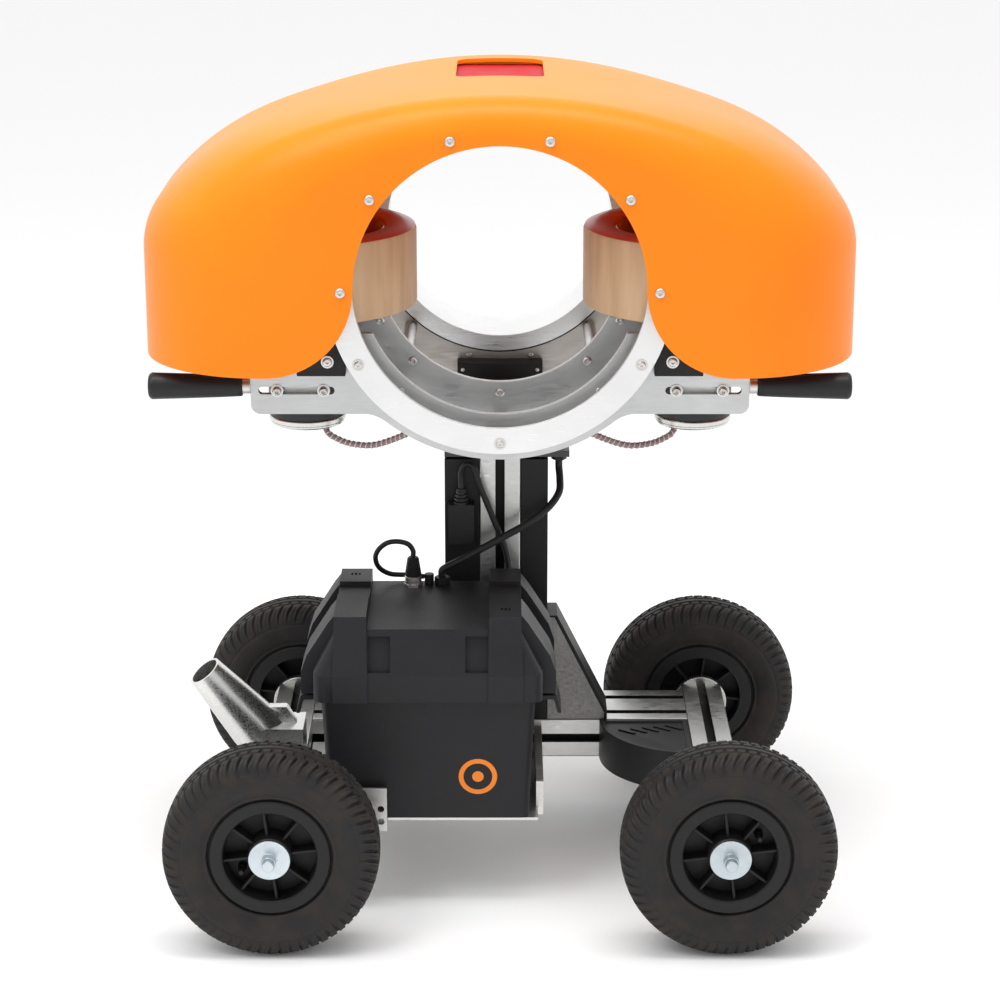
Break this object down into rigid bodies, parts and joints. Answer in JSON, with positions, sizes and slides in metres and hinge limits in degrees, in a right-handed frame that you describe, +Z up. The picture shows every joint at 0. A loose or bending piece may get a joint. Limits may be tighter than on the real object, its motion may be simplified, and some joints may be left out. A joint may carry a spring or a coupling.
{
  "type": "ball pitching machine",
  "caption": "Ball launcher: two spinning wheels on vertical shafts under a moulded cover, on a swivelling, tilting head over a wheeled trolley with a battery box.",
  "frame": {"origin": "on the floor, under the middle of the machine's box", "axes": "+Z up; the muzzle faces -Y and the ball leaves along -Y; +X is to the right when looking into the muzzle along +Y; ground wheels turn about Y"},
  "size_m": [0.723, 0.542, 0.856],
  "materials": {
    "profile_aluminium": "satin anodised",
    "machined_aluminium": "turned and polished",
    "brushed_aluminium": "fine brushed",
    "plate_aluminium": "matt brushed",
    "rear_aluminium": "matt brushed",
    "zinc_steel": "zinc plated",
    "bright_steel": "bright",
    "dark_steel": "black satin",
    "cast_grey": "bead blasted casting",
    "black_casting": "wrinkle finish",
    "motor_black": "satin",
    "black_plastic": "fine texture",
    "box_plastic": "moulded texture",
    "battery_case": "moulded",
    "rim_plastic": "semi-matt",
    "cable_black": "satin",
    "seal_rubber": "matt",
    "grip_rubber": "satin",
    "lead_wrap": "spiral wrap",
    "tan_tread": "cast polyurethane",
    "red_rim": "cast, gloss",
    "tyre_black": "dusty",
    "orange_cover": "satin gloss",
    "red_window": "gloss"
  },
  "bodies": {
    "frame": {"cross_beam": "profile_aluminium", "axle_beams": "profile_aluminium", "beam_end_discs": "machined_aluminium", "axle_studs": "zinc_steel", "axle_fasteners": "zinc_steel", "mast_profile": "profile_aluminium", "mast_covers": "black_plastic", "gussets": "cast_grey", "gusset_caps": "black_plastic", "corner_step": "black_plastic", "handle_socket": "machined_aluminium", "battery_tray": "bright_steel", "battery_box": "box_plastic", "battery_lid": "box_plastic", "battery": "battery_case", "lid_connector": "bright_steel", "connector_cable": "cable_black", "power_cable": "cable_black", "cable_glands": "black_plastic", "plug_cable": "cable_black", "cable_plug": "cable_black", "mast_bracket": "dark_steel"},
    "swivel": {"swivel_yoke": "dark_steel", "tilt_pin": "bright_steel"},
    "head": {"front_ring": "brushed_aluminium", "main_plate": "plate_aluminium", "mid_plate": "plate_aluminium", "rear_plate": "rear_aluminium", "feed_tube": "brushed_aluminium", "ring_seals": "seal_rubber", "frame_spacers": "machined_aluminium", "frame_bolts": "bright_steel", "keel": "dark_steel", "head_cover": "orange_cover", "cover_screws": "bright_steel", "top_window": "red_window", "sensor_bar": "black_plastic", "controller_boxes": "black_casting", "hand_grips": "grip_rubber", "grip_rods": "bright_steel"},
    "carriage_left": {"motor_carriage_left": "plate_aluminium", "motor_left": "motor_black", "slot_bolts_left": "bright_steel", "motor_lead_left": "lead_wrap"},
    "launch_wheel_left": {"launch_tread_left": "tan_tread", "launch_rim_left": "red_rim"},
    "carriage_right": {"motor_carriage_right": "plate_aluminium", "motor_right": "motor_black", "slot_bolts_right": "bright_steel", "motor_lead_right": "lead_wrap"},
    "launch_wheel_right": {"launch_tread_right": "tan_tread", "launch_rim_right": "red_rim"},
    "wheel_front_left": {"tyre_front_left": "tyre_black", "rim_front_left": "rim_plastic"},
    "wheel_front_right": {"tyre_front_right": "tyre_black", "rim_front_right": "rim_plastic"},
    "wheel_rear_left": {"tyre_rear_left": "tyre_black", "rim_rear_left": "rim_plastic"},
    "wheel_rear_right": {"tyre_rear_right": "tyre_black", "rim_rear_right": "rim_plastic"}
  },
  "joints": [
    {"name": "head_swivel", "type": "hinge", "parent": "frame", "child": "swivel", "pos_m": [0, 0.0925, 0.45], "axis": [0, 0, 1], "range_deg": [-35, 35]},
    {"name": "head_tilt", "type": "hinge", "parent": "swivel", "child": "head", "pos_m": [0, 0.0925, 0.466], "axis": [-1, 0, 0], "range_deg": [-10, 28]},
    {"name": "carriage_slide_left", "type": "slide", "parent": "head", "child": "carriage_left", "axis": [-1, 0, 0], "range_m": [-0.008, 0.012]},
    {"name": "launch_spin_left", "type": "hinge", "parent": "carriage_left", "child": "launch_wheel_left", "pos_m": [-0.2016, 0, 0.6655], "axis": [0, 0, 1], "continuous": true},
    {"name": "carriage_slide_right", "type": "slide", "parent": "head", "child": "carriage_right", "axis": [1, 0, 0], "range_m": [-0.008, 0.012]},
    {"name": "launch_spin_right", "type": "hinge", "parent": "carriage_right", "child": "launch_wheel_right", "pos_m": [0.2016, 0, 0.6655], "axis": [0, 0, 1], "continuous": true},
    {"name": "wheel_spin_front_left", "type": "hinge", "parent": "frame", "child": "wheel_front_left", "pos_m": [-0.231, -0.223, 0.11], "axis": [0, 1, 0], "continuous": true},
    {"name": "wheel_spin_front_right", "type": "hinge", "parent": "frame", "child": "wheel_front_right", "pos_m": [0.231, -0.223, 0.11], "axis": [0, 1, 0], "continuous": true},
    {"name": "wheel_spin_rear_left", "type": "hinge", "parent": "frame", "child": "wheel_rear_left", "pos_m": [-0.231, 0.223, 0.11], "axis": [0, 1, 0], "continuous": true},
    {"name": "wheel_spin_rear_right", "type": "hinge", "parent": "frame", "child": "wheel_rear_right", "pos_m": [0.231, 0.223, 0.11], "axis": [0, 1, 0], "continuous": true}
  ]
}
